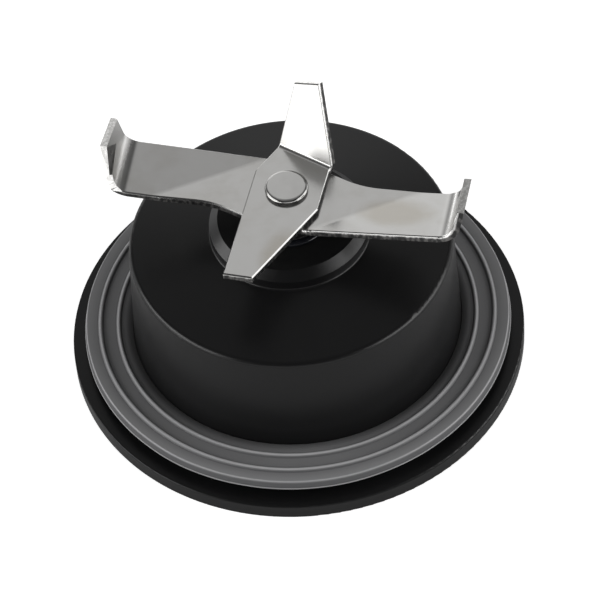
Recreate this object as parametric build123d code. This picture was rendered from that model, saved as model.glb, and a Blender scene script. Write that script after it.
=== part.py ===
from build123d import *
import os
from math import cos, radians, sin

# Blade assembly of a jar blender, in millimetres.
# +Z runs up the shaft, the origin is the middle of the flange's underside,
# and the upturned wing of the upper blade points to the back (+Y).

# Base moulding: flange, gasket seat, cup, coned top and boss
flange_radius = 40.0
flange_thickness = 3.0
flange_edge_fillet = 0.3
seat_radius = 36.4
seat_height = 1.6
cup_foot_radius = 29.05
cup_rim_radius = 28.0
cup_height = 22.0
cup_rim_fillet = 1.0
cone_rise = 2.7
boss_radius = 13.8
boss_height = 3.4
boss_foot_fillet = 0.4
boss_shoulder_chamfer = 1.5
cup_wall = 2.5
roof_thickness = 2.5
tower_wall = 3.5
rib_count = 6
rib_thickness = 2.0
rib_clear_height = 3.0
flange_rest_width = 4.4

# Sealing gasket
gasket_radius = 37.75
gasket_thickness = 1.65
gasket_lip_lift = 0.25
gasket_lip_height = 1.85
gasket_lip_draft = 0.3
gasket_lip_fillet = 0.25
gasket_seat_margin = 0.3
ridge_radius = 0.45
inner_ridge_circle = 31.6
outer_ridge_circle = 34.8

# Bearing: bushes and felt in a sleeve, seal and cap above them
shaft_radius = 4.0
running_clearance = 0.03
seat_clearance = 0.02
end_play = 0.05
bush_wall = 2.0
bush_length = 5.0
felt_length = 4.0
felt_clearance = 0.2
sleeve_wall = 1.5
seal_radius = 6.4
seal_pocket_depth = 5.7
seal_lip_height = 1.0
seal_body_wall = 1.5
collar_radius = 5.6
collar_height = 1.0
collar_gap = 0.3
washer_thickness = 0.6
washer_clearance = 0.1
cap_radius = 7.2
cap_height = 0.5
cap_spigot = 0.6
cap_edge = 0.3
cap_hole_clearance = 1.0

# Shaft ends: riveted tenon above, clip groove and thread below
tenon_radius = 3.0
tenon_half_flat = 2.4
head_radius = 3.7
head_height = 1.0
head_edge_fillet = 0.6
spacer_radius = 6.5
spacer_height = 3.4
spacer_gap = 0.4
clip_thickness = 0.8
clip_radius = 6.0
clip_groove_depth = 0.8
clip_mouth_angle = 70.0
thread_radius = 3.0

# Drive coupling with its threaded insert
coupling_radius = 14.5
coupling_recess = 0.8
coupling_edge = 0.6
clip_to_coupling = 0.5
insert_sides = 6
insert_radius = 6.5
insert_height = 4.0
insert_floor = 1.2
thread_end_gap = 0.2
socket_radius = 7.0
lobe_reach = 11.0
lobe_width = 4.2
lobe_count = 6

# Blades: both are stamped from one gauge of sheet
blade_thickness = 1.2
blade_edge = 0.2

# Lower blade, measured from the shaft along and across its arms
lower_arm_angle = 166.4
lower_lead = 3.3
lower_trail = 7.65
flare_start = 1.3
flare_end = 12.4
flare_blend = 3.0
crease_distance = 16.5
crease_skew = 31.0
crease_spread = 1.6
crease_folds = 4
crease_angle = 7.0
fin_bend_distance = 26.8
fin_bend_radius = 3.0
fin_bend_angle = 75.5
fin_height = 7.9
fin_slant = 4.4
fin_top_tilt = 5.5
fin_facet_width = 2.6
fin_facet_drop = 3.1
fin_facet_tilt = 5.5

# Upper blade, measured the same way; its second arm is bent up into a wing
upper_arm_angle = -106.7
upper_reach = 20.15
upper_half_width = 6.2
upper_tip_width = 5.0
upper_lead_start = 3.4
wing_bend_distance = 7.65
wing_bend_skew = 19.7
wing_bend_radius = 0.8
wing_bend_angle = 69.0

# Heights that follow from the sizes above
seat_z = flange_thickness + seat_height
rim_z = seat_z + cup_height
boss_foot_z = rim_z + cone_rise
boss_top_z = boss_foot_z + boss_height
bearing_top_z = boss_top_z - seal_pocket_depth
lower_bush_top_z = bearing_top_z - bush_length - felt_length
bearing_bottom_z = lower_bush_top_z - bush_length
collar_bottom_z = bearing_top_z + washer_thickness + end_play
collar_top_z = collar_bottom_z + collar_height
cap_top_z = boss_top_z + cap_height
shoulder_z = cap_top_z + spacer_gap
lower_bottom_z = shoulder_z + spacer_height
lower_top_z = lower_bottom_z + blade_thickness
upper_top_z = lower_top_z + blade_thickness
clip_top_z = bearing_bottom_z - end_play - washer_thickness
clip_bottom_z = clip_top_z - clip_thickness
coupling_top_z = clip_bottom_z - clip_to_coupling
insert_bottom_z = coupling_top_z - insert_height

# Radii that follow from the fits
bush_bore = shaft_radius + running_clearance
bush_radius = bush_bore + bush_wall
sleeve_bore = bush_radius + seat_clearance
sleeve_radius = sleeve_bore + sleeve_wall
tower_bore = sleeve_radius + seat_clearance
tower_radius = tower_bore + tower_wall
groove_radius = shaft_radius - clip_groove_depth


def turned(profile):
    """Turn a profile drawn in radius and height about the shaft's axis."""
    return revolve(Plane.XZ * profile, Axis.Z)


def outline(*corners):
    """Closed straight-sided outline."""
    return make_face(Polyline(*corners, close=True))


def ring(inner, outer, bottom, top):
    """Plain round ring between two heights."""
    return Pos(0, 0, bottom) * extrude(Circle(outer) - Circle(inner), top - bottom)


def rounded(profile, corner, radius):
    """Round the corner of a profile that lies nearest to a point."""
    vertex = profile.vertices().sort_by_distance((*corner, 0))[0]
    return fillet(vertex, radius)


def bevelled(profile, corner, size):
    """Bevel the corner of a profile that lies nearest to a point."""
    vertex = profile.vertices().sort_by_distance((*corner, 0))[0]
    return chamfer(vertex, size)


def cup_radius(height):
    """Outside radius of the drafted cup wall at a height."""
    draft = (cup_foot_radius - cup_rim_radius) / cup_height
    return cup_foot_radius - (height - seat_z) * draft


def roof_height(radius):
    """Height of the coned top at a radius."""
    return rim_z + (cup_rim_radius - radius) * cone_rise / (cup_rim_radius - boss_radius)


def tenon_outline(clearance):
    """Round tenon with two flats, which keys the blades to the shaft."""
    flats = Rectangle(2 * (tenon_radius + clearance), 2 * (tenon_half_flat + clearance))
    return Circle(tenon_radius + clearance) & flats


def keyed(blade):
    """Blade with the hole that fits the tenon, its top face at height 0."""
    return blade - extrude(tenon_outline(seat_clearance), -blade_thickness)


def base_cup():
    """Flange, seat, cup, roof and boss in one wall, with a ribbed bearing tower inside."""
    inner_rim = cup_rim_radius - cup_wall
    groove_inner = cup_radius(0)
    inner_foot = groove_inner - cup_wall
    groove_outer = flange_radius - flange_rest_width
    profile = outline(
        (tower_bore, bearing_bottom_z),
        (tower_radius, bearing_bottom_z),
        (tower_radius, roof_height(tower_radius) - roof_thickness),
        (inner_rim, roof_height(inner_rim) - roof_thickness),
        (inner_foot, 0),
        (groove_inner, 0),
        (groove_inner, seat_height),
        (groove_outer, seat_height),
        (groove_outer, 0),
        (flange_radius, 0),
        (flange_radius, flange_thickness),
        (seat_radius, flange_thickness),
        (seat_radius, seat_z),
        (cup_foot_radius, seat_z),
        (cup_rim_radius, rim_z),
        (boss_radius, boss_foot_z),
        (boss_radius, boss_top_z),
        (seal_radius, boss_top_z),
        (seal_radius, bearing_top_z),
        (tower_bore, bearing_top_z),
    )
    profile = rounded(profile, (flange_radius, 0), flange_edge_fillet)
    profile = rounded(profile, (flange_radius, flange_thickness), flange_edge_fillet)
    profile = rounded(profile, (cup_rim_radius, rim_z), cup_rim_fillet)
    profile = rounded(profile, (boss_radius, boss_foot_z), boss_foot_fillet)
    profile = bevelled(profile, (boss_radius, boss_top_z), boss_shoulder_chamfer)
    shell = turned(profile)

    rib_bottom = bearing_bottom_z + rib_clear_height
    rib_inside = tower_radius - tower_wall / 2
    rib_outside = inner_rim + cup_wall / 2
    rib_profile = outline(
        (rib_inside, rib_bottom),
        (rib_outside, rib_bottom + rib_clear_height),
        (rib_outside, roof_height(rib_outside) - roof_thickness / 2),
        (rib_inside, roof_height(rib_inside) - roof_thickness / 2),
    )
    rib = extrude(Plane.XZ * rib_profile, rib_thickness / 2, both=True)
    for place in PolarLocations(0, rib_count):
        shell += place * rib
    return shell


def sealing_gasket():
    """Silicone ring on the seat: top rising outwards, two ridges and a lip past the seat's edge."""
    inner_top = (cup_radius(seat_z + gasket_thickness) + seat_clearance, seat_z + gasket_thickness)
    lip_bottom = (gasket_radius, seat_z + gasket_lip_lift)
    lip_top = (gasket_radius - gasket_lip_draft, lip_bottom[1] + gasket_lip_height)
    profile = outline(
        (cup_radius(seat_z) + seat_clearance, seat_z),
        (seat_radius - gasket_seat_margin, seat_z),
        lip_bottom,
        lip_top,
        inner_top,
    )
    profile = rounded(profile, lip_top, gasket_lip_fillet)
    top_slope = (lip_top[1] - inner_top[1]) / (lip_top[0] - inner_top[0])
    for ridge_circle in (inner_ridge_circle, outer_ridge_circle):
        ridge_z = inner_top[1] + (ridge_circle - inner_top[0]) * top_slope
        profile += Pos(ridge_circle, ridge_z) * Circle(ridge_radius)
    return turned(profile)


def bearing_sleeve():
    """Metal sleeve in the tower."""
    return ring(sleeve_bore, sleeve_radius, bearing_bottom_z, bearing_top_z)


def upper_bush():
    """Sintered bush under the seal pocket."""
    return ring(bush_bore, bush_radius, bearing_top_z - bush_length, bearing_top_z)


def lower_bush():
    """Sintered bush at the foot of the sleeve."""
    return ring(bush_bore, bush_radius, bearing_bottom_z, lower_bush_top_z)


def oil_felt():
    """Felt ring that feeds oil to both bushes."""
    felt_bore = shaft_radius + felt_clearance
    return ring(felt_bore, bush_radius, lower_bush_top_z, lower_bush_top_z + felt_length)


def upper_thrust_washer():
    """Low-friction washer between the upper bush and the shaft's collar."""
    washer_bore = shaft_radius + washer_clearance
    washer_top = bearing_top_z + washer_thickness
    return ring(washer_bore, seal_radius - washer_clearance, bearing_top_z, washer_top)


def shaft_seal():
    """Rubber seal with a pair of lips that point up and down the shaft."""
    bottom = collar_top_z + collar_gap
    top = boss_top_z - cap_spigot
    outside = seal_radius - seat_clearance
    throat = outside - seal_body_wall
    middle = (bottom + top) / 2
    lip_root = seal_lip_height / 2
    return turned(outline(
        (outside, bottom),
        (outside, top),
        (throat, top),
        (bush_bore, top - lip_root / 2),
        (bush_bore, top - lip_root),
        (throat, middle),
        (bush_bore, bottom + lip_root),
        (bush_bore, bottom + lip_root / 2),
        (throat, bottom),
    ))


def seal_cap():
    """Low ring pressed into the mouth of the pocket to hold the seal down."""
    hole = shaft_radius + cap_hole_clearance
    spigot = seal_radius - seat_clearance
    profile = outline(
        (hole, boss_top_z - cap_spigot),
        (spigot, boss_top_z - cap_spigot),
        (spigot, boss_top_z),
        (cap_radius, boss_top_z),
        (cap_radius, cap_top_z),
        (hole, cap_top_z),
    )
    return turned(rounded(profile, (cap_radius, cap_top_z), cap_edge))


def drive_shaft():
    """Turned shaft: thread, clip groove, journal, collar, keyed tenon and peened head."""
    thread_end = insert_bottom_z + thread_end_gap
    journal = turned(outline(
        (0, thread_end),
        (thread_radius, thread_end),
        (thread_radius, coupling_top_z),
        (shaft_radius, coupling_top_z),
        (shaft_radius, clip_bottom_z),
        (groove_radius, clip_bottom_z),
        (groove_radius, clip_top_z),
        (shaft_radius, clip_top_z),
        (shaft_radius, collar_bottom_z),
        (collar_radius, collar_bottom_z),
        (collar_radius, collar_top_z),
        (shaft_radius, collar_top_z),
        (shaft_radius, shoulder_z),
        (0, shoulder_z),
    ))
    tenon = Pos(0, 0, shoulder_z) * extrude(tenon_outline(0), upper_top_z - shoulder_z)
    head = Pos(0, 0, upper_top_z) * extrude(Circle(head_radius), head_height)
    head = fillet(head.edges().group_by(Axis.Z)[-1], head_edge_fillet)
    return journal + tenon + head


def blade_spacer():
    """Steel spacer clamped between the shaft's shoulder and the lower blade."""
    section = Circle(spacer_radius) - tenon_outline(seat_clearance)
    return Pos(0, 0, shoulder_z) * extrude(section, spacer_height)


def lower_thrust_washer():
    """Washer between the lower bush and the clip."""
    washer_bore = shaft_radius + washer_clearance
    return ring(washer_bore, bush_radius, clip_top_z, clip_top_z + washer_thickness)


def retaining_ring():
    """Open spring clip in the shaft's groove."""
    clip = ring(groove_radius + seat_clearance, clip_radius, clip_bottom_z, clip_top_z)
    half_mouth = radians(clip_mouth_angle / 2)
    reach = 2 * clip_radius
    mouth_side = (reach * cos(half_mouth), reach * sin(half_mouth))
    mouth = outline((0, 0), (mouth_side[0], -mouth_side[1]), mouth_side)
    return clip - Pos(0, 0, clip_bottom_z) * extrude(mouth, clip_thickness)


def drive_coupling():
    """Moulded coupling: lobed socket from below, hexagon pocket for the insert from above."""
    height = coupling_top_z - coupling_recess
    body = extrude(Circle(coupling_radius), height)
    body = chamfer(body.edges().group_by(Axis.Z)[0], coupling_edge)
    socket = Circle(socket_radius)
    for place in PolarLocations(0, lobe_count):
        socket += place * Pos(lobe_reach / 2, 0) * Rectangle(lobe_reach, lobe_width)
    body -= extrude(socket, height - insert_height - insert_floor)
    pocket = RegularPolygon(insert_radius + seat_clearance, insert_sides)
    body -= Pos(0, 0, height - insert_height) * extrude(pocket, insert_height)
    return Pos(0, 0, coupling_recess) * body


def coupling_insert():
    """Hexagonal brass insert that screws onto the shaft's thread."""
    section = RegularPolygon(insert_radius, insert_sides) - Circle(thread_radius + seat_clearance)
    return Pos(0, 0, insert_bottom_z) * extrude(section, insert_height)


def stamped(flat):
    """Sheet blank with its top face at height 0 and a bevel round it."""
    blank = extrude(flat, -blade_thickness)
    return chamfer(blank.edges().group_by(Axis.Z)[-1], blade_edge)


def fold_line(distance, skew):
    """Plane on the sheet whose Y axis points away from the shaft, square to a fold."""
    away = Vector(cos(radians(skew)), sin(radians(skew)), 0)
    return Plane(origin=(distance, 0, 0), x_dir=away.cross(Vector(0, 0, 1)), z_dir=(0, 0, 1))


def folded_plane(fold, radius, angle):
    """Plane of the sheet's top face beyond a fold, from the end of the bend."""
    turn = radians(angle)
    foot = fold.origin + fold.y_dir * radius * sin(turn) + fold.z_dir * radius * (1 - cos(turn))
    return Plane(origin=foot, x_dir=fold.x_dir, z_dir=fold.z_dir * cos(turn) - fold.y_dir * sin(turn))


def folded(sheet, fold, radius, angle):
    """Bend up all of a sheet that lies beyond a fold."""
    room = 4 * fin_bend_distance
    beyond = fold * Box(room, room, room, align=(Align.CENTER, Align.MIN, Align.CENTER))
    kept = sheet - beyond
    seam = kept.faces().sort_by_distance(fold.origin - fold.z_dir * blade_thickness / 2)[0]
    bend = revolve(seam, Axis(fold.origin + fold.z_dir * radius, fold.x_dir), angle)
    return kept + bend + folded_plane(fold, radius, angle) * fold.to_local_coords(sheet & beyond)


def lower_blank():
    """Flat blank of the lower blade: each arm's leading edge widens into the hub."""
    tip = fin_bend_distance + fin_height
    slope = (lower_trail - lower_lead) / (flare_end - flare_start)
    flare_foot = (flare_end - flare_blend, lower_lead + slope * flare_blend)
    blend_end = (flare_end + flare_blend, lower_lead)
    side = Polyline((-flare_start, -lower_trail), (tip, -lower_trail), (tip, lower_lead), blend_end)
    side += Bezier(blend_end, (flare_end, lower_lead), flare_foot)
    side += Line(flare_foot, (flare_start, lower_trail))
    return stamped(make_face(side + Rot(0, 0, 180) * side))


def bent_arm(blade):
    """Bend up the fin of the arm along +X, trim and grind it, and crease the arm."""
    fin_fold = fold_line(fin_bend_distance, 0)
    blade = folded(blade, fin_fold, fin_bend_radius, fin_bend_angle)

    # The fin's leading side is sheared at a slant
    slant = Plane.YZ * outline(
        (lower_lead, 0),
        (lower_lead + fin_height, 0),
        (lower_lead + fin_height, 2 * fin_height),
        (lower_lead - 2 * fin_slant, 2 * fin_height),
    )
    blade -= Pos(fin_bend_distance, 0, 0) * extrude(slant, 2 * fin_height)

    # Shallow facet ground on the fin's inner face, deepest at its leading edge
    fin_face = folded_plane(fin_fold, fin_bend_radius, fin_bend_angle)
    facet_top = Vector(fin_slant - lower_lead, fin_height - fin_bend_radius)
    facet_end = facet_top + Vector(fin_facet_width, -fin_facet_drop)
    ground = outline(facet_top, facet_end, (-lower_lead, 0), (-lower_lead, facet_top.Y))
    edge = (facet_end - facet_top).normalized()
    tilt = radians(fin_facet_tilt)
    deeper = edge.cross(Vector(0, 0, 1)) * sin(tilt) + Vector(0, 0, cos(tilt))
    wheel = Plane(origin=facet_top, x_dir=edge, z_dir=deeper) * Box(
        2 * fin_height, 4 * fin_height, fin_height, align=(Align.CENTER, Align.CENTER, Align.MIN))
    blade -= fin_face * (extrude(ground, blade_thickness, both=True) & wheel)

    # The crease is a row of slight folds, made from the tip inwards
    for step in reversed(range(crease_folds)):
        distance = crease_distance + crease_spread * step / (crease_folds - 1)
        crease = fold_line(distance, crease_skew - 90)
        blade = folded(blade, crease, 0, crease_angle / crease_folds)

    # The fin's top is sheared so that it falls a little towards the trailing edge
    room = 2 * fin_height
    corner = Pos(fin_bend_distance, lower_lead - fin_slant, fin_height)
    return blade - corner * Rot(fin_top_tilt, 0, 0) * Box(
        2 * room, 2 * room, room, align=(Align.CENTER, Align.CENTER, Align.MIN))


def lower_blade():
    """Two-armed stamping: flat flared hub, creased arms and upturned fins."""
    blade = lower_blank()
    for arm in range(2):
        blade = Rot(0, 0, 180) * bent_arm(blade)
    return Pos(0, 0, lower_top_z) * keyed(Rot(0, 0, lower_arm_angle) * blade)


def upper_blade():
    """Pointed stamping: one flat arm, and one bent up into a wing along a skewed line."""
    blank = stamped(outline(
        (upper_reach, -upper_half_width),
        (upper_reach, upper_tip_width - upper_half_width),
        (upper_lead_start, upper_half_width),
        (-upper_reach, upper_half_width),
        (-upper_reach, upper_half_width - upper_tip_width),
        (-upper_lead_start, -upper_half_width),
    ))
    wing_fold = fold_line(wing_bend_distance, -wing_bend_skew)
    blade = Rot(0, 0, 180) * folded(blank, wing_fold, wing_bend_radius, wing_bend_angle)
    return Pos(0, 0, upper_top_z) * keyed(Rot(0, 0, upper_arm_angle) * blade)


pieces = (
    base_cup, sealing_gasket, bearing_sleeve, upper_bush, lower_bush, oil_felt,
    upper_thrust_washer, shaft_seal, seal_cap, drive_shaft, blade_spacer, lower_blade,
    upper_blade, lower_thrust_washer, retaining_ring, drive_coupling, coupling_insert,
)

os.makedirs("parts", exist_ok=True)
for piece in pieces:
    export_step(piece(), f"parts/{piece.__name__}.step")
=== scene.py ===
from math import atan2, cos, degrees, inf, radians, sin

import bmesh
import bpy
from mathutils import Matrix, Vector
from mathutils.bvhtree import BVHTree


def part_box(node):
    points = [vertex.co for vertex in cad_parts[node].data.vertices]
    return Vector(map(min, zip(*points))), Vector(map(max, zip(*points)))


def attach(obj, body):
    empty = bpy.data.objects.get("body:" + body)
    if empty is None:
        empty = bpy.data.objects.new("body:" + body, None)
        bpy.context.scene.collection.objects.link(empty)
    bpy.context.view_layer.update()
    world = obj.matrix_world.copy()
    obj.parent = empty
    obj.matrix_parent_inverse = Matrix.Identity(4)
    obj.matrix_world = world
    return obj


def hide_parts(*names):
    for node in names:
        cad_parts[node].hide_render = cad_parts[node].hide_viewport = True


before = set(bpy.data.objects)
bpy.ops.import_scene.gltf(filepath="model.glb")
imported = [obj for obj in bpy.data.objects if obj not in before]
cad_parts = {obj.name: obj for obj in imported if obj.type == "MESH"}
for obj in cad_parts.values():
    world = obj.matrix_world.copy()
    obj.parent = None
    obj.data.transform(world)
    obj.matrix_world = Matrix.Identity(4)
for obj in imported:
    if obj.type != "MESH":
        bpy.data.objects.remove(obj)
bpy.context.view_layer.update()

MM = 0.001


# Base moulding: flange, gasket seat, drafted cup and boss in one piece of black plastic.
# It is injection moulded, with a fine satin skin, and carries the bearing tower inside.
class Wire:
    """A socket in a finish's node tree. Arithmetic on wires adds Math nodes."""

    def __init__(self, tree, socket=None):
        self.tree = tree
        self.socket = socket

    def add(self, kind, settings=None, values=None, output=0):
        """Add a node: its settings first, then the values or wires of its sockets."""
        node = self.tree.nodes.new(kind)
        for name, setting in (settings or {}).items():
            setattr(node, name, setting)
        for name, value in (values or {}).items():
            if isinstance(value, Wire):
                self.tree.links.new(value.socket, node.inputs[name])
            else:
                node.inputs[name].default_value = value
        return Wire(self.tree, node.outputs[output] if node.outputs else None)

    def maths(self, operation, first, second):
        return self.add("ShaderNodeMath", {"operation": operation}, {0: first, 1: second})

    def __add__(self, other):
        return self.maths("ADD", self, other)

    def __sub__(self, other):
        return self.maths("SUBTRACT", self, other)

    def __rsub__(self, other):
        return self.maths("SUBTRACT", other, self)

    def __mul__(self, other):
        return self.maths("MULTIPLY", self, other)

    def __pow__(self, other):
        return self.maths("POWER", self, other)

    __radd__ = __add__
    __rmul__ = __mul__

    def noise(self, scale, detail=2.0):
        """Noise from 0 to 1 at this wire's coordinates."""
        settings = {"noise_dimensions": "3D"}
        return self.add("ShaderNodeTexNoise", settings, {"Vector": self, "Scale": scale, "Detail": detail})

    def measured(self, cell, turn=0.0, centre=(0, 0, 0)):
        """These coordinates from a centre, turned about the shaft and counted in cells."""
        values = {"Location": centre, "Rotation": (0, 0, turn), "Scale": cell}
        return self.add("ShaderNodeMapping", {"vector_type": "TEXTURE"}, {"Vector": self, **values})

    def between(self, low, high):
        """This wire's rise from 0 at low to 1 at high, held outside them."""
        values = {"Value": self, "From Min": low, "From Max": high}
        return self.add("ShaderNodeMapRange", {"interpolation_type": "SMOOTHSTEP"}, values)

    def mix(self, first, second):
        """Colour that goes from the first to the second as this wire goes from 0 to 1."""
        values = {0: self, 6: first, 7: second}
        return self.add("ShaderNodeMix", {"data_type": "RGBA"}, values, output=2)

    def bump(self, distance, strength=1.0):
        """Surface relief of this height."""
        values = {"Height": self, "Distance": distance, "Strength": strength}
        return self.add("ShaderNodeBump", None, values)


def finish_start(name):
    """A new material, with a wire that carries its object's coordinates."""
    material = bpy.data.materials.new(name)
    material.use_nodes = True
    material.node_tree.nodes.clear()
    coordinates = Wire(material.node_tree).add("ShaderNodeTexCoord", None, None, output="Object")
    return material, coordinates


def finish_end(coordinates, values):
    """Close a finish with its surface shader."""
    shader = coordinates.add("ShaderNodeBsdfPrincipled", None, values)
    coordinates.add("ShaderNodeOutputMaterial", {"is_active_output": True}, {"Surface": shader})


def moulded_finish(name, colour, worn_colour, roughness, sheen_level):
    """Satin moulded plastic: fine spark-eroded skin, cloudy gloss and a little paler bloom."""
    material, place = finish_start(name)
    grain = place.noise(3200.0, 3.0)
    cloud = place.noise(70.0, 3.0)
    finish_end(place, {
        "Base Color": cloud.between(0.35, 0.75).mix((*colour, 1), (*worn_colour, 1)),
        "Roughness": roughness + 0.10 * (cloud - 0.5) + 0.05 * (grain - 0.5),
        "Specular IOR Level": sheen_level,
        "Normal": grain.bump(0.012 * MM, 0.35),
    })
    return material


def dress(node, material):
    """Give a node of the frame its finish."""
    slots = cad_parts[node].data.materials
    slots.clear()
    slots.append(material)


black_moulding = moulded_finish(
    "satin_black_moulding", (0.0052, 0.0052, 0.0055), (0.0062, 0.0062, 0.0065), 0.32, 0.29)
dress("base_cup", black_moulding)


# Bearing: a turned steel sleeve pressed into the tower, with two sintered bronze bushes
# and an oiled felt ring between them. Only the sleeve's and lower bush's ends can be seen.
def metal_finish(name, colour, stained_colour, roughness, grain_cell, relief=0.004 * MM):
    """Bare metal: a fine drawn-out grain, with faint stains and uneven gloss."""
    material, place = finish_start(name)
    grain = place.measured(grain_cell).noise(1.0, 4.0)
    stain = 0.6 * place.noise(110.0, 2.0) + 0.4 * place.noise(420.0, 3.0)
    finish_end(place, {
        "Base Color": stain.between(0.4, 0.7).mix((*colour, 1), (*stained_colour, 1)),
        "Metallic": 1.0,
        "Roughness": roughness + 0.12 * (grain - 0.5) + 0.05 * (stain - 0.5),
        "Normal": grain.bump(relief, 0.3),
    })
    return material


turned_steel = metal_finish(
    "turned_steel", (0.50, 0.50, 0.49), (0.42, 0.42, 0.41), 0.28, (1.1 * MM, 1.1 * MM, 0.11 * MM))
sintered_bronze = metal_finish(
    "sintered_bronze", (0.42, 0.27, 0.12), (0.24, 0.15, 0.07), 0.5,
    (0.2 * MM, 0.2 * MM, 0.2 * MM), relief=0.02 * MM)
dress("bearing_sleeve", turned_steel)
for bush in ("upper_bush", "lower_bush"):
    dress(bush, sintered_bronze)

felt_finish, place = finish_start("oiled_felt")
fibre = place.noise(2600.0, 5.0)
finish_end(place, {
    "Base Color": fibre.mix((0.16, 0.11, 0.06, 1), (0.42, 0.34, 0.23, 1)),
    "Roughness": 0.85,
    "Normal": fibre.bump(0.06 * MM, 0.8),
})
dress("oil_felt", felt_finish)


# Seal: a two-lipped rubber ring in the boss's pocket, on a pale nylon thrust washer,
# held down by a glossy black cap that is pressed into the pocket's mouth.
seal_rubber = moulded_finish("seal_rubber", (0.012, 0.012, 0.012), (0.02, 0.02, 0.02), 0.6, 0.3)
washer_nylon = moulded_finish("washer_nylon", (0.62, 0.60, 0.54), (0.70, 0.68, 0.62), 0.45, 0.45)
glossy_black = moulded_finish("glossy_black", (0.010, 0.011, 0.014), (0.013, 0.014, 0.018), 0.16, 0.5)
dress("shaft_seal", seal_rubber)
dress("upper_thrust_washer", washer_nylon)
dress("lower_thrust_washer", washer_nylon)
dress("seal_cap", glossy_black)


# Gasket: a grey silicone ring, compression moulded, stretched over the cup onto its seat.
# Its top rises outwards with two thin ridges, and its soft lip, which runs slightly uneven,
# has a thread of flash along the lower corner.
gasket_low, gasket_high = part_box("sealing_gasket")
gasket_radius = gasket_high.x
gasket_bore = 29.07 * MM
seat_edge = 36.1 * MM
inner_top = gasket_low.z + 1.65 * MM
lip_bottom = gasket_low.z + 0.25 * MM
lip_top = lip_bottom + 1.85 * MM
lip_edge = gasket_radius - 0.3 * MM
lip_round = 0.25 * MM
lip_waver = 0.3 * MM
flash_radius = 0.13 * MM
flash_step = 0.2 * MM
ridge_radius = 0.45 * MM
ridge_foot = 0.08 * MM
ridge_circles = (34.8 * MM, 31.6 * MM)


def flat_height(radius):
    """Height of the gasket's top beside its ridges."""
    return inner_top + (radius - gasket_bore) * (lip_top - inner_top) / (lip_edge - gasket_bore)


def arc(centre, radius, start, end, steps):
    """Points on an arc, its angles in degrees from the first axis."""
    angles = [radians(start + (end - start) * step / steps) for step in range(steps + 1)]
    return [(centre[0] + radius * cos(a), centre[1] + radius * sin(a)) for a in angles]


def ridge(circle):
    """A half-round ridge from its outer foot over the crest to its inner foot."""
    foot_gap = ((ridge_radius + ridge_foot) ** 2 - ridge_foot ** 2) ** 0.5
    lean = degrees(atan2(ridge_foot, foot_gap))
    level = arc((circle + foot_gap, ridge_foot), ridge_foot, 270, 180 + lean, 3)
    level += arc((circle, 0), ridge_radius, lean, 180 - lean, 14)[1:-1]
    level += arc((circle - foot_gap, ridge_foot), ridge_foot, -lean, -90, 3)
    return [(radius, flat_height(radius) + height) for radius, height in level]


gasket_outline = [(gasket_bore, gasket_low.z), (seat_edge, gasket_low.z)]
gasket_outline += arc((gasket_radius - flash_radius, lip_bottom + flash_radius), flash_radius, -90, 120, 6)
gasket_outline.append((gasket_radius - flash_step, lip_bottom + 2 * flash_radius))
gasket_outline += arc((lip_edge - lip_round, lip_top - lip_round), lip_round, 9, 87, 6)
for circle in ridge_circles:
    gasket_outline += ridge(circle)
gasket_outline.append((gasket_bore, inner_top))


def socket_key(tree, name):
    """The identifier that a modifier needs for one of the tree's named inputs."""
    return next(item.identifier for item in tree.interface.items_tree if item.name == name)


def even_faces(piece, mode, weight):
    """Let small faces take the shading of the large ones beside them."""
    even = piece.modifiers.new("even_faces", "WEIGHTED_NORMAL")
    even.mode = mode
    even.weight = weight
    even.keep_sharp = True


def plain_mesh(piece, name):
    """Turn a piece's live modifiers into a plain mesh on a new object at the origin."""
    graph = bpy.context.evaluated_depsgraph_get()
    mesh = bpy.data.meshes.new_from_object(piece.evaluated_get(graph))
    mesh.name = name
    bpy.data.objects.remove(piece)
    made = bpy.data.objects.new(name, mesh)
    bpy.context.scene.collection.objects.link(made)
    return made


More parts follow.
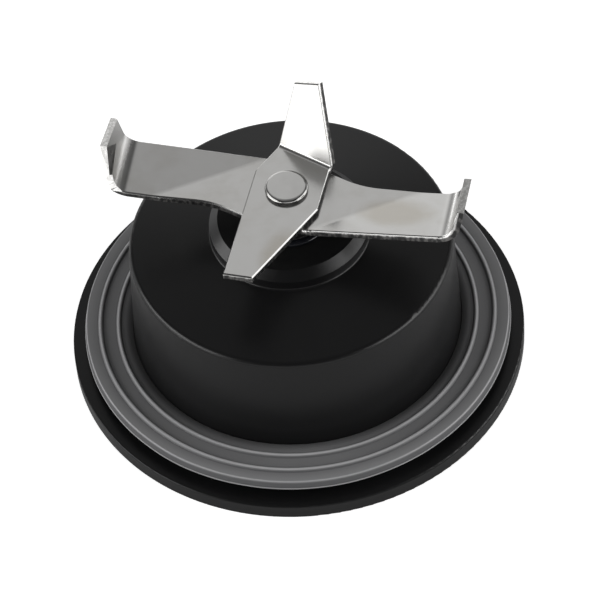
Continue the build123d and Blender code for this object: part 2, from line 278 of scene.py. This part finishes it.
def gasket_tree():
    """Sweep an outline round a circle, then let its outer lip waver a little."""
    tree = bpy.data.node_groups.new("moulded_ring", "GeometryNodeTree")
    for name, kind in (("Outline", "Object"), ("Sweep Radius", "Float"), ("Segments", "Int"),
                       ("Waver", "Float"), ("Waver From", "Float"), ("Waver To", "Float"),
                       ("Waver Scale", "Float"), ("Material", "Material")):
        tree.interface.new_socket(name, in_out="INPUT", socket_type=f"NodeSocket{kind}")
    tree.interface.new_socket("Geometry", in_out="OUTPUT", socket_type="NodeSocketGeometry")
    given = tree.nodes.new("NodeGroupInput").outputs
    size = {socket.name: Wire(tree, socket) for socket in given if socket.name}
    start = size["Segments"]
    path = start.add("GeometryNodeCurvePrimitiveCircle", None,
                     {"Resolution": size["Segments"], "Radius": size["Sweep Radius"]})
    outline = start.add("GeometryNodeObjectInfo", None, {"Object": size["Outline"]}, output="Geometry")
    ring = start.add("GeometryNodeCurveToMesh", None, {"Curve": path, "Profile Curve": outline})
    position = start.add("GeometryNodeInputPosition")
    level = start.add("ShaderNodeVectorMath", {"operation": "MULTIPLY"}, {0: position, 1: (1, 1, 0)})
    radius = start.add("ShaderNodeVectorMath", {"operation": "LENGTH"}, {0: level}, output="Value")
    outward = start.add("ShaderNodeVectorMath", {"operation": "NORMALIZE"}, {0: level})
    ring = start.add("GeometryNodeStoreNamedAttribute", {"data_type": "FLOAT", "domain": "POINT"},
                     {"Geometry": ring, "Name": "moulded_radius", "Value": radius})
    reach = start.add("ShaderNodeMapRange", {"interpolation_type": "SMOOTHSTEP"},
                      {"Value": radius, "From Min": size["Waver From"], "From Max": size["Waver To"]})
    waver = start.add("ShaderNodeTexNoise", None,
                      {"Vector": level, "Scale": size["Waver Scale"], "Detail": 3.0})
    amount = (waver - 0.7) * reach * size["Waver"]
    offset = start.add("ShaderNodeVectorMath", {"operation": "SCALE"}, {0: outward, "Scale": amount})
    ring = start.add("GeometryNodeSetPosition", None, {"Geometry": ring, "Offset": offset})
    ring = start.add("GeometryNodeSetShadeSmooth", None, {"Geometry": ring})
    ring = start.add("GeometryNodeRealizeInstances", None, {"Geometry": ring})
    ring = start.add("GeometryNodeSetMaterial", None, {"Geometry": ring, "Material": size["Material"]})
    start.add("NodeGroupOutput", None, {"Geometry": ring})
    return tree


silicone, place = finish_start("grey_silicone")
bloom = place.noise(60.0, 3.0)
skin = place.noise(1900.0, 4.0)
radius = place.add("ShaderNodeAttribute", {"attribute_name": "moulded_radius"}, None, output="Fac")
# Painted highlight: the ridge crests, the band rising out to the lip and the lip's upper edge are painted
# paler, as where light catches them.
painted_highlight = radius.between(ridge_circles[0], lip_edge) * 0.3
painted_highlight = painted_highlight + radius.between(lip_edge - 0.3 * MM, lip_edge - 0.1 * MM) * 0.4
# Painted shade: a dark ring along each ridge's feet and the lip's side face are painted darker.
shaded = radius.between(lip_edge - 0.03 * MM, lip_edge + 0.03 * MM)
shaded = shaded * (1.0 - radius.between(gasket_radius - 0.17 * MM, gasket_radius - 0.1 * MM))
for circle in ridge_circles:
    off_crest = place.maths("ABSOLUTE", radius - circle, 0.0)
    painted_highlight = painted_highlight + (1.0 - off_crest.between(0.12 * MM, 0.36 * MM))
    past_foot = off_crest.between(0.5 * MM, 0.7 * MM)
    shaded = shaded + off_crest.between(0.34 * MM, 0.44 * MM) * (1.0 - past_foot)
plain_silicone = bloom.mix((0.148, 0.148, 0.151, 1), (0.166, 0.166, 0.169, 1))
highlit_silicone = painted_highlight.mix(plain_silicone, (0.40, 0.40, 0.406, 1))
finish_end(place, {
    "Base Color": shaded.mix(highlit_silicone, (0.105, 0.105, 0.108, 1)),
    "Roughness": 0.50 + 0.10 * (bloom - 0.5),
    "Specular IOR Level": 0.45,
    "Normal": skin.bump(0.02 * MM, 0.25),
})

outline_curve = bpy.data.curves.new("gasket_outline", "CURVE")
outline_curve.dimensions = "3D"
spline = outline_curve.splines.new("POLY")
spline.points.add(len(gasket_outline) - 1)
for point, (reach, level) in zip(spline.points, reversed(gasket_outline)):
    point.co = (reach - lip_edge, -level, 0, 1)
spline.use_cyclic_u = True
outline_piece = bpy.data.objects.new("gasket_outline", outline_curve)
bpy.context.scene.collection.objects.link(outline_piece)

gasket = bpy.data.objects.new("gasket_sweep", bpy.data.meshes.new("gasket_sweep"))
bpy.context.scene.collection.objects.link(gasket)
sweep = gasket.modifiers.new("sweep", "NODES")
sweep.node_group = gasket_tree()
for name, value in (("Outline", outline_piece), ("Sweep Radius", lip_edge), ("Segments", 288),
                    ("Waver", lip_waver), ("Waver From", ridge_circles[0] + ridge_radius),
                    ("Waver To", lip_edge), ("Waver Scale", 55.0), ("Material", silicone)):
    sweep[socket_key(sweep.node_group, name)] = value
even_faces(gasket, "FACE_AREA", 100)
gasket = plain_mesh(gasket, "gasket_ring")
bpy.data.objects.remove(outline_piece)
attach(gasket, "base")
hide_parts("sealing_gasket")


# Shaft: turned stainless steel, with a keyed tenon that is peened over the blades,
# and the round spacer under them. The peened head is smoothed by the riveting tool.
shaft_steel = metal_finish(
    "shaft_steel", (0.74, 0.735, 0.72), (0.68, 0.675, 0.66), 0.14, (1.4 * MM, 1.4 * MM, 0.17 * MM))
for node in ("drive_shaft", "blade_spacer"):
    dress(node, shaft_steel)


# Blades: two stampings of bright stainless sheet, bent and keyed onto the shaft.
# The rolled faces mirror the room, the bevels along them are ground, and the cut sides of
# the sheet are burnished next to the punch and torn beyond it; cut faces that face up carry
# a painted highlight, and the torn part is painted near black as painted shade.
sheet_gauge = 1.2 * MM
ray_start = 0.1 * MM
weld_distance = 0.001 * MM
sharp_corner = radians(12)
stain_size = (6.5 * MM, 3.6 * MM, 1.0)
bend_foot = 39.4 * MM
bend_dulled = 40.5 * MM
FACET, ROLLED, BEVEL, SHEARED = range(4)
facet_depth, rolled_depth, bevel_depth = 0.97, 1.1, 1.6


def rolled_finish(name, arm_angle, stain_reach, stain_across):
    """Rolled steel: grain along the arms, water marks, one warm stain, and duller where bent up."""
    material, place = finish_start(name)
    turn = radians(arm_angle)
    grain = place.measured((8.0 * MM, 0.4 * MM, 0.4 * MM), turn).noise(1.0, 4.0)
    cloud = 0.6 * place.noise(110.0, 2.0) + 0.4 * place.noise(420.0, 3.0)
    centre = Matrix.Rotation(turn, 3, "Z") @ Vector((stain_reach, stain_across, 0))
    from_stain = place.measured(stain_size, turn, centre)
    from_stain = place.add("ShaderNodeVectorMath", {"operation": "LENGTH"}, {0: from_stain}, output="Value")
    stain = 1.0 - (from_stain + 1.2 * (cloud - 0.5)).between(0.55, 1.15)
    height = place.add("ShaderNodeSeparateXYZ", None, {"Vector": place}, output="Z")
    dulled = height.between(bend_foot, bend_dulled)
    steel = cloud.between(0.4, 0.7).mix((0.775, 0.77, 0.755, 1), (0.72, 0.71, 0.685, 1))
    finish_end(place, {
        "Base Color": stain.mix(steel, (0.66, 0.635, 0.585, 1)),
        "Metallic": 1.0,
        "Roughness": 0.17 + 0.12 * (grain - 0.5) + 0.05 * (cloud - 0.5) + 0.04 * stain + 0.2 * dulled,
        "Normal": grain.bump(0.004 * MM, 0.3),
    })
    return material


def ground_finish(name, colour, streak_colour, roughness):
    """Steel ground on a wheel: streaks that change its colour and gloss."""
    material, place = finish_start(name)
    streak = place.measured((0.4 * MM, 0.4 * MM, 2.0 * MM)).noise(1.0, 4.0)
    finish_end(place, {
        "Base Color": streak.between(0.35, 0.65).mix((*colour, 1), (*streak_colour, 1)),
        "Metallic": 1.0,
        "Roughness": roughness + 0.2 * (streak - 0.5),
        "Normal": streak.bump(0.005 * MM, 0.5),
    })
    return material


def sheared_and_painted_finish(name):
    """Punched side: burnished beside the punch and torn beyond, with a painted highlight on cut faces that
    face up and the torn part painted near black as painted shade.
    """
    material, place = finish_start(name)
    tear = place.measured((0.6 * MM, 0.6 * MM, 1.2 * MM)).noise(1.0, 3.0)
    punch_side_and_painted_top = place.add("ShaderNodeAttribute", {"attribute_name": "punch_side_and_painted_top"}, None, output="Fac")
    burnished_and_painted_lit = (punch_side_and_painted_top + 0.4 * (tear - 0.5)).between(0.72, 0.9)
    patch = tear.between(0.4, 0.65)
    # Painted shade: the torn part is painted near black; painted highlight: burnished and upward cut faces
    # are painted bright.
    torn_and_painted_shade = patch.mix((0.06, 0.06, 0.06, 1), (0.22, 0.215, 0.21, 1))
    bright = patch.mix((0.64, 0.635, 0.62, 1), (0.88, 0.875, 0.86, 1))
    finish_end(place, {
        "Base Color": burnished_and_painted_lit.mix(torn_and_painted_shade, bright),
        "Metallic": 1.0,
        "Roughness": 0.38 - 0.18 * burnished_and_painted_lit,
        "Normal": tear.bump(0.012 * MM, 0.5),
    })
    return material


def cut_kind(depth):
    """Kind of a face, from the depth of metal behind it in sheet thicknesses."""
    if depth < facet_depth:
        return FACET
    if depth < rolled_depth:
        return ROLLED
    return BEVEL if depth < bevel_depth else SHEARED


def blade(node, name, finishes):
    """A blade with its corners sharp and its rolled, ground and sheared faces sorted."""
    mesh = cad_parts[node].data.copy()
    mesh.attributes.remove(mesh.attributes["custom_normal"])
    mesh.materials.clear()
    for finish in finishes:
        mesh.materials.append(finish)
    form = bmesh.new()
    form.from_mesh(mesh)
    bmesh.ops.remove_doubles(form, verts=form.verts, dist=weld_distance)
    tree = BVHTree.FromBMesh(form)
    for face in form.faces:
        inward = -face.normal
        through = tree.ray_cast(face.calc_center_median() + inward * ray_start, inward)[3]
        depth = inf if through is None else through + ray_start
        face.material_index = cut_kind(depth / sheet_gauge)
        face.smooth = True
    for edge in form.edges:
        kinds = {face.material_index for face in edge.link_faces}
        middle = (edge.verts[0].co + edge.verts[1].co) / 2
        outward = sum((face.normal for face in edge.link_faces), Vector())
        rolled_over = kinds == {BEVEL, SHEARED} and outward.dot(Vector((-middle.y, middle.x, 0))) < 0
        edge.smooth = rolled_over or len(kinds) == 1 and edge.calc_face_angle(0) < sharp_corner
    punch_side_and_painted_top = form.loops.layers.float.new("punch_side_and_painted_top")
    for face in form.faces:
        for corner in face.loops:
            uncut = [near for near in corner.vert.link_faces if near.material_index != SHEARED]
            beside_punch = any(near.normal.z > 0 for near in uncut)
            # Cut faces that face up are marked as well, for a painted highlight.
            corner[punch_side_and_painted_top] = beside_punch or face.normal.z > 0.5
    form.to_mesh(mesh)
    form.free()
    piece = bpy.data.objects.new(f"{name}_sorted", mesh)
    bpy.context.scene.collection.objects.link(piece)
    even_faces(piece, "FACE_AREA_WITH_ANGLE", 50)
    piece = plain_mesh(piece, name)
    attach(piece, "rotor")
    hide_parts(node)


ground_facet = ground_finish("ground_facet", (0.30, 0.295, 0.29), (0.36, 0.355, 0.35), 0.3)
ground_bevel = ground_finish("ground_bevel", (0.86, 0.855, 0.84), (0.95, 0.945, 0.93), 0.2)
sheared_side_painted_light = sheared_and_painted_finish("sheared_side_painted_light")
for node, name, arm_angle, stain_reach, stain_across in (
        ("lower_blade", "lower_cutter", 166.4, -19.3 * MM, 2.3 * MM),
        ("upper_blade", "upper_cutter", -106.7, 15.0 * MM, 2.5 * MM)):
    rolled_face = rolled_finish(f"{name}_rolled_face", arm_angle, stain_reach, stain_across)
    blade(node, name, (ground_facet, rolled_face, ground_bevel, sheared_side_painted_light))


# Drive end, inside the cup: a moulded coupling with a six-lobed socket, its brass insert,
# and the blackened spring clip that keeps the shaft in its bearing.
coupling_plastic = moulded_finish(
    "coupling_plastic", (0.010, 0.010, 0.010), (0.016, 0.016, 0.016), 0.48, 0.4)
insert_brass = metal_finish(
    "insert_brass", (0.60, 0.42, 0.16), (0.45, 0.31, 0.12), 0.3, (1.1 * MM, 1.1 * MM, 0.25 * MM))
spring_steel = metal_finish(
    "spring_steel", (0.10, 0.10, 0.105), (0.07, 0.065, 0.06), 0.42, (0.7 * MM, 0.7 * MM, 0.7 * MM))
dress("drive_coupling", coupling_plastic)
dress("coupling_insert", insert_brass)
dress("retaining_ring", spring_steel)


# Floor: a large sheet of matt white paper that keeps the part's soft shadow.
# It is open when seen from below, so that the part's underside gets light.
floor_size = 2.0


def ray_fact(start, fact):
    """One of the facts about the ray that meets a surface."""
    return start.add("ShaderNodeLightPath", None, None, output=fact)


floor_mesh = bpy.data.meshes.new("floor")
floor_mesh.from_pydata(
    [(x * floor_size, y * floor_size, 0) for x, y in ((-1, -1), (1, -1), (1, 1), (-1, 1))],
    [], [(0, 1, 2, 3)])
floor = bpy.data.objects.new("floor", floor_mesh)
bpy.context.scene.collection.objects.link(floor)
floor_paint = bpy.data.materials.new("white_floor")
floor_paint.use_nodes = True
floor_paint.node_tree.nodes.clear()
start = Wire(floor_paint.node_tree)
eye = ray_fact(start, "Is Camera Ray")
mirrored = start.maths("MAXIMUM", ray_fact(start, "Is Glossy Ray"), ray_fact(start, "Is Transmission Ray"))
place = start.add("ShaderNodeTexCoord", None, None, output="Object")
distance = start.add("ShaderNodeVectorMath", {"operation": "LENGTH"}, {0: place}, output="Value")
matt = start.add("ShaderNodeBsdfDiffuse", None, {"Color": (0.8, 0.8, 0.8, 1)})
# Painted shade: for mirrored rays the floor glows only away from the part, so that near the part its
# reflection stays dark, as if in the part's shadow.
glow = start.add("ShaderNodeEmission", None,
                 {"Strength": eye * 0.7 + mirrored * distance.between(0.08, 0.35) * 1.05})
surface = start.add("ShaderNodeAddShader", None, {0: matt, 1: glow})
clear = start.add("ShaderNodeBsdfTransparent")
below = start.maths("MAXIMUM",
                    start.add("ShaderNodeNewGeometry", None, None, output="Backfacing"),
                    ray_fact(start, "Transparent Depth"))
surface = start.add("ShaderNodeMixShader", None, {0: below, 1: surface, 2: clear})
start.add("ShaderNodeOutputMaterial", {"is_active_output": True}, {"Surface": surface})
floor_mesh.materials.append(floor_paint)


# Studio: white all round for the eye, and for gloss a room that darkens overhead and
# aside, with a broad bright panel behind and a large soft lamp on each side. The bright
# steel has a dimmer pair of its own in the same places, and a low card for the wing.
world = bpy.data.worlds.new("studio")
bpy.context.scene.world = world
world.use_nodes = True
world.node_tree.nodes.clear()
start = Wire(world.node_tree)
direction = start.add("ShaderNodeTexCoord", None, None, output="Generated")
split = start.add("ShaderNodeSeparateXYZ", None, {"Vector": direction})
across, along, height = [Wire(world.node_tree, socket) for socket in split.socket.node.outputs]
front = (along * -1.0).between(0.0, 0.6) * height.between(-0.05, 0.2)
aside = across.maths("ABSOLUTE", across, 0.0).between(0.19, 0.52)
overhead = height.maths("MAXIMUM", height, 0.0) ** 2.5
aside = aside * (0.45 + 0.55 * height.between(0.03, 0.25))
room = (0.85 - 0.70 * overhead) * (1.0 - 0.9 * front) * (1.0 - 0.82 * aside)
eye = ray_fact(start, "Is Camera Ray")
gloss = start.maths("MAXIMUM", ray_fact(start, "Is Glossy Ray"), ray_fact(start, "Is Transmission Ray"))
ambient = 0.2
strength = eye + (1.0 - eye) * (gloss * room + (1.0 - gloss) * ambient)
sky = start.add("ShaderNodeBackground", None, {"Color": (1, 1, 1, 1), "Strength": strength})
start.add("ShaderNodeOutputWorld", None, {"Surface": sky})

softbox_size = (1.1, 0.46)
softbox_watts = 8.5
steel_watts = 1.8
card_size = (0.32, 0.14)
card_watts = 0.32
lit_point = Vector((0, 0, 0.02))
winged_piece = bpy.data.objects["upper_cutter"]
steel_pieces = [winged_piece, bpy.data.objects["lower_cutter"]]
steel_pieces += [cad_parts[node] for node in ("drive_shaft", "blade_spacer")]


def softbox(name, stand, size, watts, pieces, link):
    """A soft lamp that leaves some pieces out, or lights nothing else."""
    lamp = bpy.data.lights.new(name, "AREA")
    lamp.shape = "RECTANGLE"
    lamp.size, lamp.size_y = size
    lamp.energy = watts
    holder = bpy.data.objects.new(name, lamp)
    holder.visible_camera = False
    holder.location = stand
    holder.rotation_euler = (lit_point - stand).to_track_quat("-Z", "Y").to_euler()
    bpy.context.scene.collection.objects.link(holder)
    receivers = bpy.data.collections.new(f"{name}_receivers")
    for piece in pieces:
        receivers.objects.link(piece)
    for receiver in receivers.collection_objects:
        receiver.light_linking.link_state = link
    holder.light_linking.receiver_collection = receivers


for side, stand in (("left", Vector((-0.92, -0.18, 0.36))), ("right", Vector((0.90, -0.23, 0.37)))):
    softbox(f"{side}_softbox", stand, softbox_size, softbox_watts, steel_pieces, "EXCLUDE")
    softbox(f"{side}_steel_softbox", stand, softbox_size, steel_watts, steel_pieces, "INCLUDE")
softbox("wing_card", Vector((-0.22, -0.127, 0.035)), card_size, card_watts, [winged_piece], "INCLUDE")


# Camera: a long lens from the front, half way up, rolled a little as the photograph is.
# Its place and turns were fitted to the circles of the base.
camera_data = bpy.data.cameras.new("camera")
camera_data.lens = 210
camera_data.sensor_width = 36
camera_data.clip_start = 0.01
camera = bpy.data.objects.new("camera", camera_data)
camera_place = Matrix.Translation((0.000675, -0.39404, 0.48262))
camera_tilt = Matrix.Rotation(radians(39.813), 4, "X")
camera_roll = Matrix.Rotation(radians(-4.858), 4, "Z")
camera.matrix_world = camera_place @ camera_tilt @ camera_roll
bpy.context.scene.collection.objects.link(camera)
bpy.context.scene.camera = camera

bpy.context.scene.view_settings.view_transform = "Standard"
